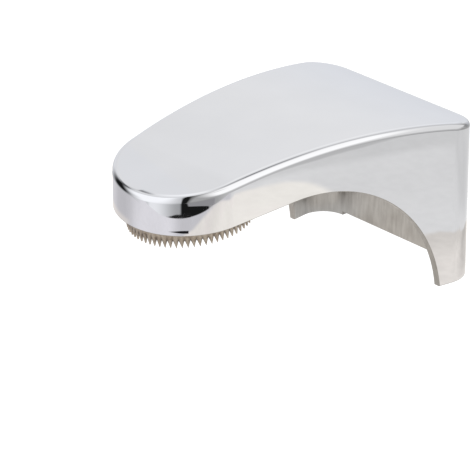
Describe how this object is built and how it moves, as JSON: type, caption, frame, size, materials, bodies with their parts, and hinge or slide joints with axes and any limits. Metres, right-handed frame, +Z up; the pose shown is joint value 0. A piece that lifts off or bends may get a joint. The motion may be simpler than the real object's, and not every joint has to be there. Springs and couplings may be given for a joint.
{
  "type": "magnetic soap holder",
  "caption": "Arched chrome wall arm with a rounded nose, open below, whose magnet holds a toothed steel cap that pulls off downwards.",
  "frame": {"origin": "centre of the adhesive pad's wall side, in the plane of the wall", "axes": "+Y into the wall, square to the pad; the nose points to -Y; +Z up; X across, with X = 0 the plane of symmetry"},
  "size_m": [0.0548, 0.086, 0.0432],
  "materials": {
    "shell_chrome": "polished",
    "pad_foam": "matte",
    "housing_plastic": "satin",
    "cup_steel": "satin",
    "magnet_nickel": "satin",
    "screw_steel": "satin",
    "cover_plastic": "satin",
    "cap_steel": "satin"
  },
  "bodies": {
    "holder": {"shell": "shell_chrome", "adhesive_pad": "pad_foam", "magnet_housing": "housing_plastic", "pole_cup": "cup_steel", "ring_magnet": "magnet_nickel", "magnet_screw": "screw_steel", "magnet_cover": "cover_plastic"},
    "cap": {"toothed_cap": "cap_steel"}
  },
  "joints": [
    {"name": "cap_pull", "type": "slide", "parent": "holder", "child": "cap", "axis": [0, 0.1357, -0.9907], "range_m": [0, 0.04]}
  ]
}
